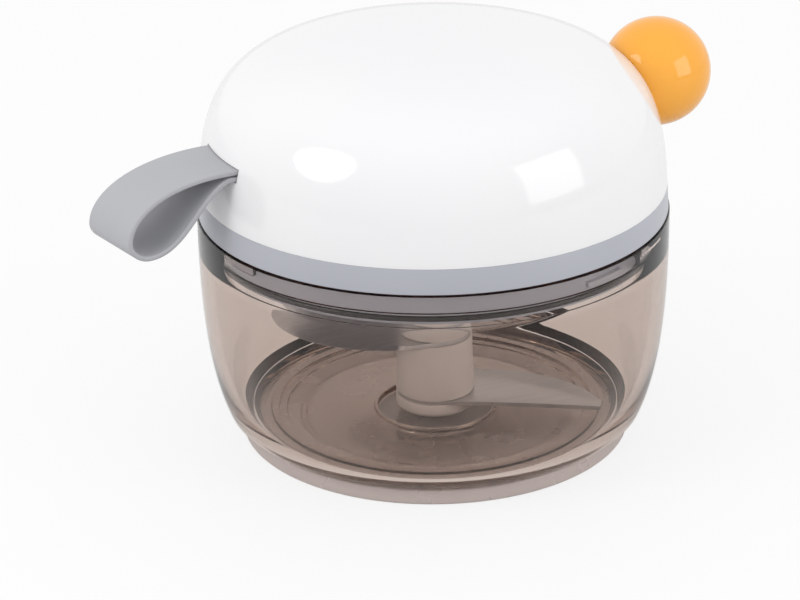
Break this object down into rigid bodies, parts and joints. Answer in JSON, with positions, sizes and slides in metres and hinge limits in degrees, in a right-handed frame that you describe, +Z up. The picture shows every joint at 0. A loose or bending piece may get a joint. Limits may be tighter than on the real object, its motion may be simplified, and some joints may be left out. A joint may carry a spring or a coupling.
{
  "type": "pull-cord food chopper",
  "caption": "Hand-pulled food chopper: clear bowl on a soft foot, stacked blades on a stem, glossy domed lid with a pull ball and a finger strap.",
  "frame": {"origin": "centre of the soft foot's flat underside, on the axis of the bowl and blades", "axes": "+Z up along the blades' axis; +X the way the pull ball leaves the lid, with the finger strap on -X; +Y to the left of +X seen from above"},
  "size_m": [0.1525, 0.1106, 0.0963],
  "materials": {
    "smoked_clear_plastic": "clear smoked, polished",
    "gloss_white_plastic": "glossy",
    "grey_shell_plastic": "fine satin gloss",
    "grey_strap_rubber": "soft matt",
    "translucent_foot_rubber": "soft, slightly translucent",
    "dark_seal_rubber": "soft matt",
    "orange_plastic": "high gloss",
    "stem_plastic": "satin",
    "inner_plastic": "matt moulded",
    "gear_plastic": "self-lubricating, satin",
    "blade_steel": "fine ground stainless",
    "machined_steel": "turned stainless",
    "bearing_bronze": "sintered, dull",
    "cord_fibre": "braided, matt"
  },
  "bodies": {
    "bowl": {"nonslip_base": "translucent_foot_rubber", "bowl": "smoked_clear_plastic", "pivot_pin": "machined_steel"},
    "blades": {"blade_foot_cap": "stem_plastic", "lower_blade": "blade_steel", "lower_stem": "stem_plastic", "upper_blade": "blade_steel", "upper_stem": "stem_plastic"},
    "lid_seal": {"lid_seal": "dark_seal_rubber"},
    "lid": {"lid_base": "grey_shell_plastic", "shaft_bush": "bearing_bronze", "spool_bridge": "inner_plastic", "bridge_screw_1": "machined_steel", "bridge_screw_2": "machined_steel", "bridge_screw_3": "machined_steel", "arbor_screw": "machined_steel", "mainspring": "machined_steel", "dome_cover": "gloss_white_plastic", "cord_guide": "machined_steel", "finger_strap": "grey_strap_rubber", "strap_bar": "machined_steel"},
    "drive_shaft": {"drive_shaft": "machined_steel", "shaft_clip": "machined_steel", "ratchet_wheel": "gear_plastic"},
    "spool": {"spool": "inner_plastic", "cord_winding": "cord_fibre"},
    "pawl_1": {"pawl_1": "gear_plastic"},
    "pawl_2": {"pawl_2": "gear_plastic"},
    "pull_ball": {"pull_ball": "orange_plastic", "ball_plug": "orange_plastic", "cord_knot": "cord_fibre", "cord_lead": "cord_fibre"}
  },
  "joints": [
    {"name": "lid_lift", "type": "slide", "parent": "bowl", "child": "lid_seal", "axis": [0, 0, 1], "range_m": [0, 0.06]},
    {"name": "lid_turn", "type": "hinge", "parent": "lid_seal", "child": "lid", "pos_m": [0, 0, 0.0492], "axis": [0, 0, 1], "range_deg": [0, 20]},
    {"name": "cord_pull", "type": "slide", "parent": "lid", "child": "pull_ball", "axis": [1, 0, 0], "range_m": [0, 0.3], "stiffness_N_per_m": 8, "springref_m": -0.3, "deforming": ["cord_lead"]},
    {"name": "spool_turn", "type": "hinge", "parent": "lid", "child": "spool", "pos_m": [0, 0, 0.0748], "axis": [0, 0, 1], "range_deg": [0, 1190]},
    {"name": "drive_shaft_turn", "type": "hinge", "parent": "lid", "child": "drive_shaft", "pos_m": [0, 0, 0.05], "axis": [0, 0, 1], "range_deg": [0, 1190]},
    {"name": "blade_spin", "type": "hinge", "parent": "bowl", "child": "blades", "pos_m": [0, 0, 0.02], "axis": [0, 0, 1], "range_deg": [0, 1190]},
    {"name": "pawl_1_swing", "type": "hinge", "parent": "spool", "child": "pawl_1", "pos_m": [0.0145, 0, 0.0608], "axis": [0, 0, -1], "range_deg": [0, 12], "stiffness_Nm_per_rad": 0.002, "springref_deg": -11.46},
    {"name": "pawl_2_swing", "type": "hinge", "parent": "spool", "child": "pawl_2", "pos_m": [-0.0145, 0, 0.0608], "axis": [0, 0, -1], "range_deg": [0, 12], "stiffness_Nm_per_rad": 0.002, "springref_deg": -11.46}
  ],
  "couplings": [
    {"joint": "spool_turn", "follows": "cord_pull", "rad_per_m": 68.966},
    {"joint": "drive_shaft_turn", "follows": "cord_pull", "rad_per_m": 68.966},
    {"joint": "blade_spin", "follows": "cord_pull", "rad_per_m": 68.966}
  ]
}
